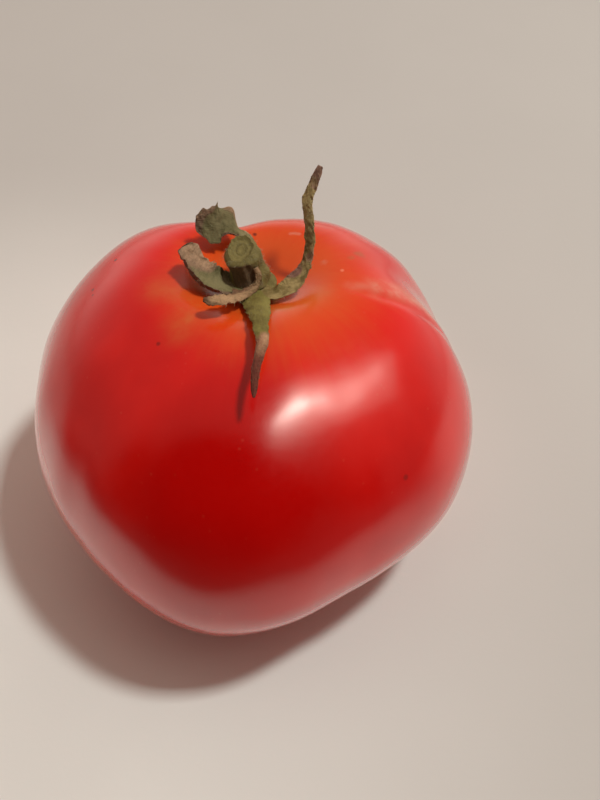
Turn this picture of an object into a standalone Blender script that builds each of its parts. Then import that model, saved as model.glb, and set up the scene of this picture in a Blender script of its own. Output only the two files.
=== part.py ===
# A ripe ribbed tomato resting on its blossom end, with the drying calyx and the cut stalk
# that stand in its stem pit. Metres, +Z up. The origin is the middle of the small flat
# spot that the fruit rests on. Azimuths are in degrees, 0 along +X and 90 along +Y.

import bpy
import numpy as np

MM = 0.001

# The fruit's rings, from the stem pit down to the flat spot
FRUIT_RADIUS = 0.0383  # mean radius of the widest ring
CROWN_RISE = 0.0312  # widest ring to crown, before the pit is sunk
BASE_DROP = 0.0272  # widest ring to the point where the underside would close
SHOULDER_POWER = 0.74  # under 1 squares the shoulders
FLANK_POWER = 0.89
FOOT_RADIUS = 0.009
CROWN_LEAN = 4.4  # degrees that the crown leans back
CROWN_OFFSET = (0.0012, 0.0117)  # of the crown's centre from the foot's centre
WAIST_OFFSET = (-0.0001, -0.0070)  # of the middle rings from the line between those two

# Waves round the fruit: how many, their share of the radius, the azimuth of a crest
LOBES = ((2, 0.068, 0.0), (3, 0.056, -94.0), (4, 0.016, -22.0), (5, 0.015, -14.0))

# Grooves that run down the shoulder: azimuth and half width in degrees, share of the
# radius, and the degrees above the widest ring where the groove is deepest
GROOVES = ((16.0, 11.5, 0.067, 42.0), (107.5, 17.5, 0.157, 55.0))
GROOVE_REACH = 30.0  # degrees up and down over which a groove fades

PIT_DEPTH = 0.0062
PIT_RADIUS = 0.0105

FRUIT_RINGS = 36
FRUIT_SEGMENTS = 72
RING_CROWDING = 1.4  # over 1 draws the rings together towards the pit

# The calyx
CALYX_GAP = 0.0004  # left between the calyx and the skin under it
HUB_RADIUS = 0.0040
HUB_THICKNESS, HUB_RIM_THICKNESS = 0.0019, 0.0008
HUB_RINGS, HUB_SEGMENTS = 4, 30
BLADE_THICKNESS, MARGIN_THICKNESS = 0.0008, 0.00062
BLADE_ROWS, BLADE_COLUMNS = 22, 6

# The stalk: its axis, and its radius at shares of its length, up to the cut face
STALK_ROOT = (0.5 * MM, 11.3 * MM, 53.9 * MM)
STALK_TOP = (-1.2 * MM, 12.0 * MM, 60.4 * MM)
STALK_PROFILE = (
    (0.00, 3.5 * MM),
    (0.18, 3.5 * MM),
    (0.36, 3.25 * MM),
    (0.52, 3.05 * MM),
    (0.68, 3.2 * MM),
    (0.82, 3.2 * MM),
    (0.93, 2.8 * MM),
    (1.00, 2.2 * MM),
)
CUT_DIP, CUT_DIP_RADIUS = 0.0006, 0.0009  # the pith sinks a little in the cut face
CUT_SLOPE = 0.42  # the cut face falls this much per unit towards the front
STALK_SEGMENTS = 24

# Sepals, as stations from root to tip in millimetres: the midrib's x, y, z, the half width
# of the blade, the bend of its cross-section in degrees (over 0 is a trough, under 0 an
# arch), and the way that its inner face looks.
SEPALS = {
    "front": (
        (1.3, 9.8, 53.6, 2.2, -5, (0.0, 0.3, 1.0)),
        (1.6, 6.4, 55.0, 2.4, -10, (0.0, 0.2, 1.0)),
        (2.1, 2.4, 57.2, 2.2, -20, (-0.1, 0.1, 1.0)),
        (2.8, -2.0, 59.4, 1.6, -30, (-0.1, 0.0, 1.0)),
        (3.2, -5.3, 60.2, 1.25, -30, (0.0, 0.0, 1.0)),
        (3.6, -8.3, 60.5, 1.0, -10, (0.1, 0.0, 1.0)),
        (3.3, -11.0, 60.5, 0.8, 0, (0.0, 0.0, 1.0)),
        (2.9, -13.6, 60.2, 0.7, 0, (-0.2, 0.0, 1.0)),
        (2.8, -16.0, 59.6, 0.6, 0, (-0.2, 0.0, 1.0)),
        (2.8, -18.0, 58.9, 0.4, 0, (-0.2, 0.0, 1.0)),
    ),
    "right": (
        (1.8, 9.4, 53.6, 1.7, 5, (0.0, 0.0, 1.0)),
        (4.2, 7.3, 55.0, 2.0, 10, (0.0, 0.1, 1.0)),
        (6.7, 7.3, 55.9, 2.2, 15, (-0.2, 0.1, 1.0)),
        (8.7, 9.2, 56.5, 2.0, 25, (-0.4, 0.0, 0.9)),
        (9.9, 11.5, 57.4, 1.4, 30, (-0.6, -0.2, 0.6)),
        (10.5, 12.8, 59.1, 1.15, 25, (-0.6, -0.5, 0.4)),
        (10.5, 14.1, 61.7, 0.98, 15, (-0.5, -0.7, 0.4)),
        (10.2, 15.3, 64.1, 0.92, 10, (-0.4, -0.8, 0.4)),
        (9.8, 16.4, 66.3, 0.88, 5, (-0.3, -0.8, 0.4)),
        (10.1, 17.4, 68.1, 0.85, 0, (-0.3, -0.8, 0.4)),
        (10.9, 18.4, 70.1, 0.8, 0, (-0.3, -0.8, 0.4)),
        (11.7, 19.4, 72.2, 0.6, 0, (-0.3, -0.8, 0.4)),
    ),
    "left": (
        (-0.4, 10.4, 53.6, 1.8, 20, (0.1, 0.1, 1.0)),
        (-2.7, 9.1, 54.3, 3.0, 40, (0.2, 0.1, 1.0)),
        (-4.5, 8.3, 55.2, 3.5, 55, (0.3, 0.0, 0.9)),
        (-6.2, 8.0, 56.1, 3.7, 64, (0.4, 0.0, 0.9)),
        (-7.8, 8.6, 56.8, 3.6, 68, (0.6, 0.0, 0.8)),
        (-9.0, 9.7, 57.5, 3.4, 64, (0.7, -0.1, 0.7)),
        (-10.1, 11.3, 58.7, 2.6, 52, (0.8, -0.3, 0.6)),
        (-10.8, 12.1, 60.4, 1.7, 40, (0.8, -0.4, 0.5)),
    ),
    "back": (
        (0.4, 12.4, 53.7, 1.7, 5, (0.0, 0.0, 1.0)),
        (-0.6, 15.0, 54.4, 1.7, 5, (0.0, 0.1, 1.0)),
        (-0.5, 17.3, 56.0, 1.6, 5, (0.0, 0.3, 1.0)),
        (-1.2, 18.9, 57.2, 1.5, 5, (0.0, 0.3, 1.0)),
        (-2.8, 19.8, 57.8, 1.6, 5, (0.0, 0.0, 1.0)),
        (-4.5, 19.9, 58.3, 2.5, 10, (0.1, -0.6, 0.8)),
        (-6.2, 19.5, 58.8, 3.0, 15, (0.1, -0.8, 0.6)),
        (-8.0, 19.1, 59.3, 2.5, 20, (0.3, -0.8, 0.5)),
        (-9.4, 18.7, 59.6, 1.5, 20, (0.4, -0.8, 0.5)),
    ),
    "dry": (
        (1.5, 9.4, 58.6, 0.7, 0, (0.5, -0.7, 0.4)),
        (2.0, 8.9, 57.2, 0.8, 0, (0.5, -0.7, 0.5)),
        (1.5, 7.9, 55.8, 0.9, 0, (0.3, -0.5, 0.9)),
        (0.1, 6.2, 55.9, 1.0, 10, (0.1, -0.2, 1.0)),
        (-1.3, 3.8, 57.1, 1.1, 15, (0.1, 0.0, 1.0)),
        (-2.8, 1.9, 58.6, 1.2, 15, (0.1, 0.0, 1.0)),
        (-4.6, 0.6, 59.6, 1.1, 10, (0.0, 0.0, 1.0)),
        (-6.4, 0.5, 59.9, 0.8, 0, (0.0, 0.0, 1.0)),
    ),
}


def clear_scene():
    for old in list(bpy.data.objects):
        bpy.data.objects.remove(old, do_unlink=True)


def material(name, colour, roughness):
    made = bpy.data.materials.new(name)
    made.use_nodes = True
    shader = made.node_tree.nodes["Principled BSDF"]
    shader.inputs["Base Color"].default_value = (*colour, 1.0)
    shader.inputs["Roughness"].default_value = roughness
    shader.inputs["Metallic"].default_value = 0.0
    return made


def object_of(name, points, faces, made_of=None):
    mesh = bpy.data.meshes.new(name)
    mesh.from_pydata(points.tolist(), [], faces)
    mesh.update()
    made = bpy.data.objects.new(name, mesh)
    bpy.context.scene.collection.objects.link(made)
    if made_of:
        mesh.materials.append(made_of)
    return made


def foot_angle():
    """Latitude, below the widest ring, of the ring that bounds the flat foot."""
    return -np.arccos((FOOT_RADIUS / FRUIT_RADIUS) ** (1 / FLANK_POWER))


def fruit_surface(azimuth, along):
    """Points of the skin. azimuth is in radians; along is 0 in the pit and 1 at the foot's rim."""
    lowest = foot_angle()
    latitude = np.pi / 2 + (lowest - np.pi / 2) * along
    cosine, sine = np.cos(latitude), np.sin(latitude)
    upper = sine > 0
    radius = FRUIT_RADIUS * cosine ** np.where(upper, SHOULDER_POWER, FLANK_POWER)
    height = np.where(upper, CROWN_RISE, BASE_DROP) * sine - BASE_DROP * np.sin(lowest)

    outline = np.ones_like(radius)
    for waves, share, crest in LOBES:
        outline += share * np.cos(waves * (azimuth - np.radians(crest)))
    for centre, width, share, deepest in GROOVES:
        fade = np.exp(-(((np.degrees(latitude) - deepest) / GROOVE_REACH) ** 2))
        off = (azimuth - np.radians(centre) + np.pi) % (2 * np.pi) - np.pi
        outline -= share * fade * np.exp(-((off / np.radians(width)) ** 2))

    # The rings' centres follow a bowed line from the foot to the crown.
    climb = (sine - np.sin(lowest)) / (1 - np.sin(lowest))
    bow = 4 * climb * (1 - climb)
    centre_x = CROWN_OFFSET[0] * climb + WAIST_OFFSET[0] * bow
    centre_y = CROWN_OFFSET[1] * climb + WAIST_OFFSET[1] * bow

    x = radius * outline * np.cos(azimuth)
    y = radius * outline * np.sin(azimuth)
    sink = -PIT_DEPTH * np.exp(-((radius / PIT_RADIUS) ** 2)) * upper
    lean = np.radians(CROWN_LEAN) * climb
    y, rise = y * np.cos(lean) + sink * np.sin(lean), sink * np.cos(lean) - y * np.sin(lean)
    return np.stack([x + centre_x, y + centre_y, height + rise], axis=-1)


def along_at(radius):
    """The along value of the ring near the pit that has this radius before its waves."""
    latitude = np.arccos((radius / FRUIT_RADIUS) ** (1 / SHOULDER_POWER))
    return (np.pi / 2 - latitude) / (np.pi / 2 - foot_angle())


def ring_faces(rings, segments):
    """Quads between stacked rings that run from the top down, facing out."""
    start = np.arange(rings * segments).reshape(rings, segments)
    after = np.roll(start, -1, axis=1)
    quads = np.stack([start[:-1], start[1:], after[1:], after[:-1]], axis=-1)
    return quads.reshape(-1, 4).tolist()


def fan(pole, ring, turned=False):
    corners = list(ring)
    ends = corners[1:] + corners[:1]
    return [(pole, b, a) if turned else (pole, a, b) for a, b in zip(corners, ends)]


def build_fruit():
    skin = material("tomato_skin", (0.60, 0.020, 0.010), 0.3)
    turn = np.linspace(0, 2 * np.pi, FRUIT_SEGMENTS, endpoint=False)
    along = np.linspace(0, 1, FRUIT_RINGS + 1)[1:] ** RING_CROWDING
    azimuth, depth = np.meshgrid(turn, along)
    rings = fruit_surface(azimuth, depth).reshape(-1, 3)
    rings[-FRUIT_SEGMENTS:, 2] = 0.0
    pole = fruit_surface(np.zeros(1), np.zeros(1))
    faces = ring_faces(FRUIT_RINGS, FRUIT_SEGMENTS)
    faces += fan(len(rings), range(FRUIT_SEGMENTS))
    faces.append(tuple(range(len(rings) - 1, len(rings) - FRUIT_SEGMENTS - 1, -1)))
    fruit = object_of("fruit", np.vstack([rings, pole]), faces, skin)
    fruit.data.shade_smooth()
    fruit.data.set_sharp_from_angle(angle=np.radians(50))
    return fruit


def smooth_through(stations, rows):
    """Catmull-Rom curve through rows of numbers, read at evenly spaced places."""
    stations = np.asarray(stations, float)
    padded = np.vstack([
        2 * stations[0] - stations[1],
        stations,
        2 * stations[-1] - stations[-2],
    ])
    place = np.linspace(0, len(stations) - 1, rows)
    first = np.minimum(place.astype(int), len(stations) - 2)
    t = (place - first)[:, None]
    a, b, c, d = (padded[first + k] for k in range(4))
    return 0.5 * (
        2 * b
        + (c - a) * t
        + (2 * a - 5 * b + 4 * c - d) * t**2
        + (3 * b - a - 3 * c + d) * t**3
    )


def unit(vectors):
    return vectors / np.linalg.norm(vectors, axis=-1, keepdims=True)


def build_sepal(name, stations):
    """A closed blade: its cross-section is an arc that is carried along the midrib."""
    table = [(*place, *facing) for *place, facing in stations]
    rows = smooth_through(table, BLADE_ROWS + 1)
    midrib = rows[:, :3] * MM
    half_width = np.maximum(rows[:, 3], 0.3) * MM
    bend = np.radians(rows[:, 4])
    bend = np.where(np.abs(bend) < 0.02, 0.02, bend)

    forward = unit(np.gradient(midrib, axis=0))
    facing = rows[:, 5:8]
    facing = unit(facing - forward * np.sum(facing * forward, axis=1, keepdims=True))
    side = np.cross(forward, facing)

    across = np.linspace(-1, 1, BLADE_COLUMNS + 1)
    angle = bend[:, None] * across
    arc_radius = (half_width / bend)[:, None]
    out = (arc_radius * np.sin(angle))[..., None] * side[:, None]
    lift = (arc_radius * (1 - np.cos(angle)))[..., None] * facing[:, None]
    middle = midrib[:, None] + out + lift
    normal = np.cos(angle)[..., None] * facing[:, None] - np.sin(angle)[..., None] * side[:, None]
    thickness = BLADE_THICKNESS + (MARGIN_THICKNESS - BLADE_THICKNESS) * across**2
    half = normal * (thickness / 2)[None, :, None]
    points = np.concatenate([(middle + half).reshape(-1, 3), (middle - half).reshape(-1, 3)])

    # Both faces are split along the same diagonals, so that they never cross.
    upper = np.arange(midrib.shape[0] * len(across)).reshape(midrib.shape[0], -1)
    a, b, c, d = upper[:-1, :-1], upper[1:, :-1], upper[1:, 1:], upper[:-1, 1:]
    top = np.concatenate([
        np.stack([a, c, b], axis=-1).reshape(-1, 3),
        np.stack([a, d, c], axis=-1).reshape(-1, 3),
    ])
    under = top[:, ::-1] + upper.size
    rim = np.concatenate([upper[:, 0], upper[-1, 1:], upper[-2::-1, -1], upper[0, -2:0:-1]])
    after = np.roll(rim, -1)
    wall = np.concatenate([
        np.stack([rim, after, after + upper.size], axis=-1),
        np.stack([rim, after + upper.size, rim + upper.size], axis=-1),
    ])
    return object_of(name, points, np.concatenate([top, under, wall]).tolist())


def build_hub():
    """The disc that the sepals grow from. Its underside follows the pit."""
    turn = np.linspace(0, 2 * np.pi, HUB_SEGMENTS, endpoint=False)
    share = np.linspace(0, 1, HUB_RINGS + 1)[1:]
    azimuth, part = np.meshgrid(turn, share)
    skin = fruit_surface(azimuth, along_at(part * HUB_RADIUS))
    under = skin + [0, 0, CALYX_GAP]
    thickness = HUB_THICKNESS + (HUB_RIM_THICKNESS - HUB_THICKNESS) * part**2
    over = under + thickness[..., None] * np.array([0, 0, 1])
    pole = fruit_surface(np.zeros(1), np.zeros(1)) + [0, 0, CALYX_GAP]
    points = np.vstack([
        over.reshape(-1, 3),
        under[::-1].reshape(-1, 3),
        pole + [0, 0, HUB_THICKNESS],
        pole,
    ])
    count = 2 * HUB_RINGS * HUB_SEGMENTS
    faces = ring_faces(2 * HUB_RINGS, HUB_SEGMENTS)
    faces += fan(count, range(HUB_SEGMENTS))
    faces += fan(count + 1, range(count - HUB_SEGMENTS, count), turned=True)
    return object_of("hub", points, faces)


def build_stalk():
    root, top = np.array(STALK_ROOT), np.array(STALK_TOP)
    axis = unit(top - root)
    side = unit(np.cross(axis, [0.0, 1.0, 0.0]))
    other = np.cross(axis, side)
    turn = np.linspace(0, 2 * np.pi, STALK_SEGMENTS, endpoint=False)
    round_axis = np.cos(turn)[:, None] * side + np.sin(turn)[:, None] * other
    slope = CUT_SLOPE * round_axis[:, 1:2] * axis
    inner = top - axis * CUT_DIP + CUT_DIP_RADIUS * (round_axis + slope)
    rings = [inner]
    for share, radius in reversed(STALK_PROFILE):
        rings.append(root + (top - root) * share + radius * (round_axis + slope * share**4))
    count = len(rings) * STALK_SEGMENTS
    faces = ring_faces(len(rings), STALK_SEGMENTS)
    faces.append(tuple(range(STALK_SEGMENTS)))
    faces.append(tuple(range(count - 1, count - STALK_SEGMENTS - 1, -1)))
    return object_of("stalk", np.vstack(rings), faces)


def build_calyx():
    green = material("calyx_green", (0.115, 0.115, 0.038), 0.7)
    calyx = build_hub()
    calyx.name = "calyx"
    calyx.data.materials.append(green)
    grown = bpy.data.collections.new("grown_from_hub")
    bpy.context.scene.collection.children.link(grown)
    pieces = [build_stalk()]
    pieces += [build_sepal("sepal_" + name, table) for name, table in SEPALS.items()]
    for piece in pieces:
        bpy.context.scene.collection.objects.unlink(piece)
        grown.objects.link(piece)
    join = calyx.modifiers.new("join", "BOOLEAN")
    join.operation = "UNION"
    join.operand_type = "COLLECTION"
    join.collection = grown
    join.solver = "MANIFOLD"
    bpy.context.view_layer.objects.active = calyx
    bpy.ops.object.modifier_apply(modifier=join.name)
    for piece in pieces:
        bpy.data.objects.remove(piece, do_unlink=True)
    bpy.data.collections.remove(grown)
    calyx.data.shade_smooth()
    calyx.data.set_sharp_from_angle(angle=np.radians(50))
    return calyx


clear_scene()
build_fruit()
build_calyx()
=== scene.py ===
import math

import bpy
import numpy as np
from mathutils import Matrix, Vector


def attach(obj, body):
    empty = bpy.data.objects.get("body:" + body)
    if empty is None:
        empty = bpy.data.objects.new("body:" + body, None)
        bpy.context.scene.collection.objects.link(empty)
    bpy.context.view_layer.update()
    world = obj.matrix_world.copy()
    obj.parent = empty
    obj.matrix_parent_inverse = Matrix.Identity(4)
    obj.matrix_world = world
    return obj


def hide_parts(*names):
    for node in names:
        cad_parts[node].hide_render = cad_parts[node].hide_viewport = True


# A ripe ribbed tomato on a pale table. Everything is in metres in the CAD frame: +Z up,
# the origin under the middle of the foot. Azimuth 0 is along +X, 90 along +Y.
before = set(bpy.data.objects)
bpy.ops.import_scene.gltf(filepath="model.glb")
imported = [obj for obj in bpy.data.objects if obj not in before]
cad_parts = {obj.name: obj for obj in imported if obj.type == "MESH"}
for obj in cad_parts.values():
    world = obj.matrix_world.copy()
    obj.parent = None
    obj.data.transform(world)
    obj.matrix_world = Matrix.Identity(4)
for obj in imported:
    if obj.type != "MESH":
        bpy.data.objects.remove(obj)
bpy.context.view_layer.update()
mm = 0.001
seedOf = {"skin": 11, "blade": 23, "hair": 37, "stalk": 41}


def unit(rows):
    return rows / np.linalg.norm(rows, axis=-1, keepdims=True)


def waves(*axes, seed, lowest, highest, count=14):
    # A smooth random sheet: the sum of count sines, each with its own direction, frequency and phase, over
    # the square root of half their count.
    chance = np.random.default_rng(seed)
    total = 0.0
    for _ in range(count):
        way = chance.normal(size=len(axes))
        way *= chance.uniform(lowest, highest) / np.linalg.norm(way)
        total = total + np.sin(sum(w * a for w, a in zip(way, axes)) * 2 * np.pi + chance.uniform(0, 6.28))
    return total / math.sqrt(count / 2)


def smoothThrough(stations, rows):
    # Catmull-Rom curve through rows of numbers, read at evenly spaced places.
    stations = np.asarray(stations, float)
    padded = np.vstack([2 * stations[0] - stations[1], stations, 2 * stations[-1] - stations[-2]])
    place = np.linspace(0, len(stations) - 1, rows)
    first = np.minimum(place.astype(int), len(stations) - 2)
    t = (place - first)[:, None]
    a, b, c, d = (padded[first + k] for k in range(4))
    return 0.5 * (2 * b + (c - a) * t + (2 * a - 5 * b + 4 * c - d) * t**2 + (3 * b - a - 3 * c + d) * t**3)


def putMesh(name, points, faceSets, material, marks=None):
    # points and arrays of triangles or quads become a smooth object; marks are values kept on the points
    mesh = bpy.data.meshes.new(name)
    corners = np.concatenate([np.asarray(f).ravel() for f in faceSets]).astype(np.int32)
    sizes = np.concatenate([np.full(len(f), np.asarray(f).shape[1]) for f in faceSets])
    mesh.vertices.add(len(points))
    mesh.vertices.foreach_set("co", np.asarray(points, np.float32).ravel())
    mesh.loops.add(len(corners))
    mesh.loops.foreach_set("vertex_index", corners)
    mesh.polygons.add(len(sizes))
    mesh.polygons.foreach_set("loop_start", np.concatenate([[0], np.cumsum(sizes)[:-1]]).astype(np.int32))
    mesh.update(calc_edges=True)
    mesh.validate()
    for label, values in (marks or {}).items():
        values = np.asarray(values, np.float32)
        kind, slot = ("FLOAT_VECTOR", "vector") if values.ndim == 2 else ("FLOAT", "value")
        mesh.attributes.new(label, kind, "POINT").data.foreach_set(slot, values.ravel())
    mesh.materials.append(material)
    mesh.shade_smooth()
    made = bpy.data.objects.new(name, mesh)
    bpy.context.scene.collection.objects.link(made)
    return made


def tubeFaces(rows, around):
    # quads of a closed tube of rows rings, each of around points, and a fan to a pole at each end
    grid = np.arange(rows * around).reshape(rows, around)
    after = np.roll(grid, -1, axis=1)
    quads = np.stack([grid[:-1], grid[1:], after[1:], after[:-1]], axis=-1).reshape(-1, 4)
    start, end = rows * around, rows * around + 1
    low = np.stack([np.full(around, start), grid[0], after[0]], axis=-1)
    high = np.stack([np.full(around, end), after[-1], grid[-1]], axis=-1)
    return quads, low, high


def dress(piece, node):
    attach(piece, "root")
    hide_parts(node)
    return piece


def setInput(tree, node, key, value):
    if isinstance(value, bpy.types.NodeSocket):
        tree.links.new(value, node.inputs[key])
    else:
        node.inputs[key].default_value = value


def addNode(tree, kind, inputs=None, **settings):
    node = tree.nodes.new(kind)
    for label, value in settings.items():
        setattr(node, label, value)
    for key, value in (inputs or {}).items():
        setInput(tree, node, key, value)
    return node


def noise(tree, vector, scale, detail, roughness, distortion=0.0):
    given = {"Vector": vector, "Scale": scale, "Detail": detail, "Roughness": roughness}
    given["Distortion"] = distortion
    return addNode(tree, "ShaderNodeTexNoise", given).outputs["Fac"]


def remap(tree, value, low, high, toLow=0.0, toHigh=1.0):
    given = {"Value": value, "From Min": low, "From Max": high, "To Min": toLow, "To Max": toHigh}
    return addNode(tree, "ShaderNodeMapRange", given, interpolation_type="SMOOTHSTEP").outputs["Result"]


def maths(tree, operation, a, b, clamp=False):
    return addNode(tree, "ShaderNodeMath", {0: a, 1: b}, operation=operation, use_clamp=clamp).outputs[0]


def vectorMaths(tree, operation, a, b, output="Vector"):
    return addNode(tree, "ShaderNodeVectorMath", {0: a, 1: b}, operation=operation).outputs[output]


def blend(tree, factor, first, second):
    given = {0: factor, 6: first, 7: second}
    for index in (6, 7):
        if isinstance(given[index], tuple):
            given[index] = (*given[index], 1.0)
    return addNode(tree, "ShaderNodeMix", given, data_type="RGBA").outputs[2]


def distanceTo(tree, vector, place):
    return vectorMaths(tree, "DISTANCE", vector, place, "Value")


def placeOf(tree):
    return addNode(tree, "ShaderNodeTexCoord").outputs["Object"]


def kept(tree, label, output="Vector"):
    # a value kept on the mesh's points
    return addNode(tree, "ShaderNodeAttribute", attribute_name=label).outputs[output]


def addBump(tree, shader, height, strength, distance):
    given = {"Strength": strength, "Distance": distance, "Height": height}
    setInput(tree, shader, "Normal", addNode(tree, "ShaderNodeBump", given).outputs["Normal"])


def newMaterial(name):
    material = bpy.data.materials.new(name)
    material.use_nodes = True
    tree = material.node_tree
    return material, tree, tree.nodes["Principled BSDF"]


def srgb(red, green, blue):
    # 0-255 screen colour as the linear colour that a shader takes.
    values = np.array([red, green, blue]) / 255
    return tuple(np.where(values <= 0.04045, values / 12.92, ((values + 0.055) / 1.055) ** 2.4).tolist())


camera = {
    "place": (9.71, -98.22, 165.94),  # mm
    "right": (0.99939, 0.02794, 0.02090),
    "up": (-0.0349, 0.80021, 0.59866),
    "lens": 40.4,
}


def buildCamera():
    data = bpy.data.cameras.new("camera")
    data.lens = camera["lens"]
    data.sensor_width = 36
    data.clip_start, data.clip_end = 0.01, 20
    made = bpy.data.objects.new("camera", data)
    right = Vector(camera["right"]).normalized()
    up = Vector(camera["up"])
    up = (up - right * up.dot(right)).normalized()
    back = right.cross(up)
    turn = Matrix((right, up, back)).transposed().to_4x4()
    made.matrix_world = Matrix.Translation(Vector(camera["place"]) * mm) @ turn
    bpy.context.scene.collection.objects.link(made)
    bpy.context.scene.camera = made
    print("camera set")


fruit = {
    "radius": 0.0383,
    "crownRise": 0.0312,
    "baseDrop": 0.0272,
    "shoulderPower": 0.74,
    "flankPower": 0.89,
    "footRadius": 0.009,
    "crownLean": 4.4,  # degrees
    "crownOffset": (0.0012, 0.0117),
    "waistOffset": (-0.0001, -0.0070),
    "lobes": ((2, 0.068, 0.0), (3, 0.056, -94.0), (4, 0.016, -22.0), (5, 0.015, -14.0)),
    "grooves": ((16.0, 11.5, 0.067, 42.0), (107.5, 17.5, 0.157, 55.0)),
    "grooveReach": 30.0,
    "pitDepth": 0.0062,
    "pitRadius": 0.0105,
    "rings": 225,
    "segments": 430,
    "crowding": 1.4,
    "swell": 0.00008,  # low uneven swelling of the skin
    "pitCentre": (0.0012, 0.0112, 0.0517),
    "crownHeight": 0.03,  # the fold and the soft lines show only above this
    "foldDepth": 0.00022,  # the fold along the right groove
    "foldWidth": 0.0009,
    "foldPoint": (0.020, 0.0074),  # x and y of a point of the fold
    "foldSlope": -0.05,
    "foldStart": (0.016, 0.024),  # x over which the fold fades in
    "foldClimb": 0.012,  # height over which it fades in
}


def footAngle():
    return -np.arccos((fruit["footRadius"] / fruit["radius"]) ** (1 / fruit["flankPower"]))


def fruitSurface(azimuth, along):
    # Skin points. Each ring's radius is a power of the cosine of its latitude, times a wavy outline that
    # has cosine lobes and two Gaussian grooves. The rings' centres follow a bowed line, the outline leans
    # more the higher it is, and a Gaussian pit sinks the crown.
    f = fruit
    lowest = footAngle()
    latitude = np.pi / 2 + (lowest - np.pi / 2) * along
    cosine, sine = np.cos(latitude), np.sin(latitude)
    upper = sine > 0
    radius = f["radius"] * cosine ** np.where(upper, f["shoulderPower"], f["flankPower"])
    height = np.where(upper, f["crownRise"], f["baseDrop"]) * sine - f["baseDrop"] * np.sin(lowest)
    outline = np.ones_like(radius)
    for count, share, crest in f["lobes"]:
        outline += share * np.cos(count * (azimuth - np.radians(crest)))
    for centre, width, share, deepest in f["grooves"]:
        fade = np.exp(-(((np.degrees(latitude) - deepest) / f["grooveReach"]) ** 2))
        off = (azimuth - np.radians(centre) + np.pi) % (2 * np.pi) - np.pi
        outline -= share * fade * np.exp(-((off / np.radians(width)) ** 2))
    climb = (sine - np.sin(lowest)) / (1 - np.sin(lowest))
    bow = 4 * climb * (1 - climb)
    centreX = f["crownOffset"][0] * climb + f["waistOffset"][0] * bow
    centreY = f["crownOffset"][1] * climb + f["waistOffset"][1] * bow
    x = radius * outline * np.cos(azimuth)
    y = radius * outline * np.sin(azimuth)
    sink = -f["pitDepth"] * np.exp(-((radius / f["pitRadius"]) ** 2)) * upper
    lean = np.radians(f["crownLean"]) * climb
    y, rise = y * np.cos(lean) + sink * np.sin(lean), sink * np.cos(lean) - y * np.sin(lean)
    return np.stack([x + centreX, y + centreY, height + rise], axis=-1)


def alongAt(radius):
    latitude = np.arccos((radius / fruit["radius"]) ** (1 / fruit["shoulderPower"]))
    return (np.pi / 2 - latitude) / (np.pi / 2 - footAngle())


def softLines(points, lines):
    # Gaussian of the distance, seen from above, to the nearest of many places along each line
    total = np.zeros(points.shape[:2])
    for line, width, strength in lines:
        knots = np.array(line) * mm
        share = np.linspace(0, len(knots) - 1, 12 * len(knots))
        along = [np.interp(share, np.arange(len(knots)), knots[:, axis]) for axis in (0, 1)]
        distance = np.full(total.shape, 1.0)
        for x, y in zip(*along):
            distance = np.minimum(distance, np.hypot(points[..., 0] - x, points[..., 1] - y))
        total = np.maximum(total, strength * np.exp(-((distance / (width * mm)) ** 2)))
    return total * (points[..., 2] > fruit["crownHeight"])


def foldDepths(points):
    # Gaussian of the distance to a straight line seen from above, times a linear rise with x and with height
    x, y, z = np.moveaxis(points, -1, 0)
    startX, startY = fruit["foldPoint"]
    off = y - (startY + fruit["foldSlope"] * (x - startX))
    risen = np.clip((z - fruit["crownHeight"]) / fruit["foldClimb"], 0, 1)
    inFold = np.clip((x - fruit["foldStart"][0]) / np.ptp(fruit["foldStart"]), 0, 1) * risen
    return fruit["foldDepth"] * inFold * np.exp(-((off / fruit["foldWidth"]) ** 2))


def buildFruit(material):
    # The surface's grid, pushed out along its own normals by a low swelling and in along the fold. Its last
    # ring is laid level, and a pole closes it above and below.
    rings, segments = fruit["rings"], fruit["segments"]
    turn = np.linspace(0, 2 * np.pi, segments, endpoint=False)
    along = np.linspace(0, 1, rings + 1)[1:] ** fruit["crowding"]
    azimuth, depth = np.meshgrid(turn, along)
    points = fruitSurface(azimuth, depth)
    # the swelling fades out at the pit and the foot
    step = 1e-4
    acrossWay = fruitSurface(azimuth + step, depth) - fruitSurface(azimuth - step, depth)
    downWay = fruitSurface(azimuth, np.minimum(depth + step, 1)) - fruitSurface(azimuth, depth - step)
    normal = unit(np.cross(downWay, acrossWay))
    scale = points / 0.01
    swell = waves(scale[..., 0], scale[..., 1], scale[..., 2], seed=seedOf["skin"], lowest=0.25, highest=0.9)
    around = (3 * np.cos(azimuth), 3 * np.sin(azimuth), depth * 0.8)
    ripple = waves(*around, seed=seedOf["skin"] + 1, lowest=0.8, highest=2.0)
    fade = np.clip((1 - depth) * 8, 0, 1) * np.clip(depth * 6, 0, 1)
    points = points + normal * ((swell + 0.2 * ripple) * fade * fruit["swell"])[..., None]
    points = points - normal * foldDepths(points)[..., None]
    lines = [softLines(points, skinLines[tone]) for tone in ("ochre", "pale")]
    lines = np.stack([*lines, 0 * lines[0]], axis=-1).reshape(-1, 3)
    points = points.reshape(-1, 3)
    points[-segments:, 2] = 0.0
    pole = fruitSurface(np.zeros(1), np.zeros(1))
    foot = points[-segments:].mean(axis=0, keepdims=True)
    quads, top, under = tubeFaces(rings, segments)
    meridian = np.stack([np.cos(azimuth), np.sin(azimuth), depth], axis=-1).reshape(-1, 3)
    marks = {
        "meridian": np.vstack([meridian, [0, 0, 0], [0, 0, 1]]),
        "lines": np.vstack([lines, np.zeros((2, 3))]),
    }
    made = putMesh("fruit_skin", np.vstack([points, pole, foot]), (quads, top, under), material, marks)
    print("fruit built", len(made.data.polygons), "faces")
    return dress(made, "fruit")


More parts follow.
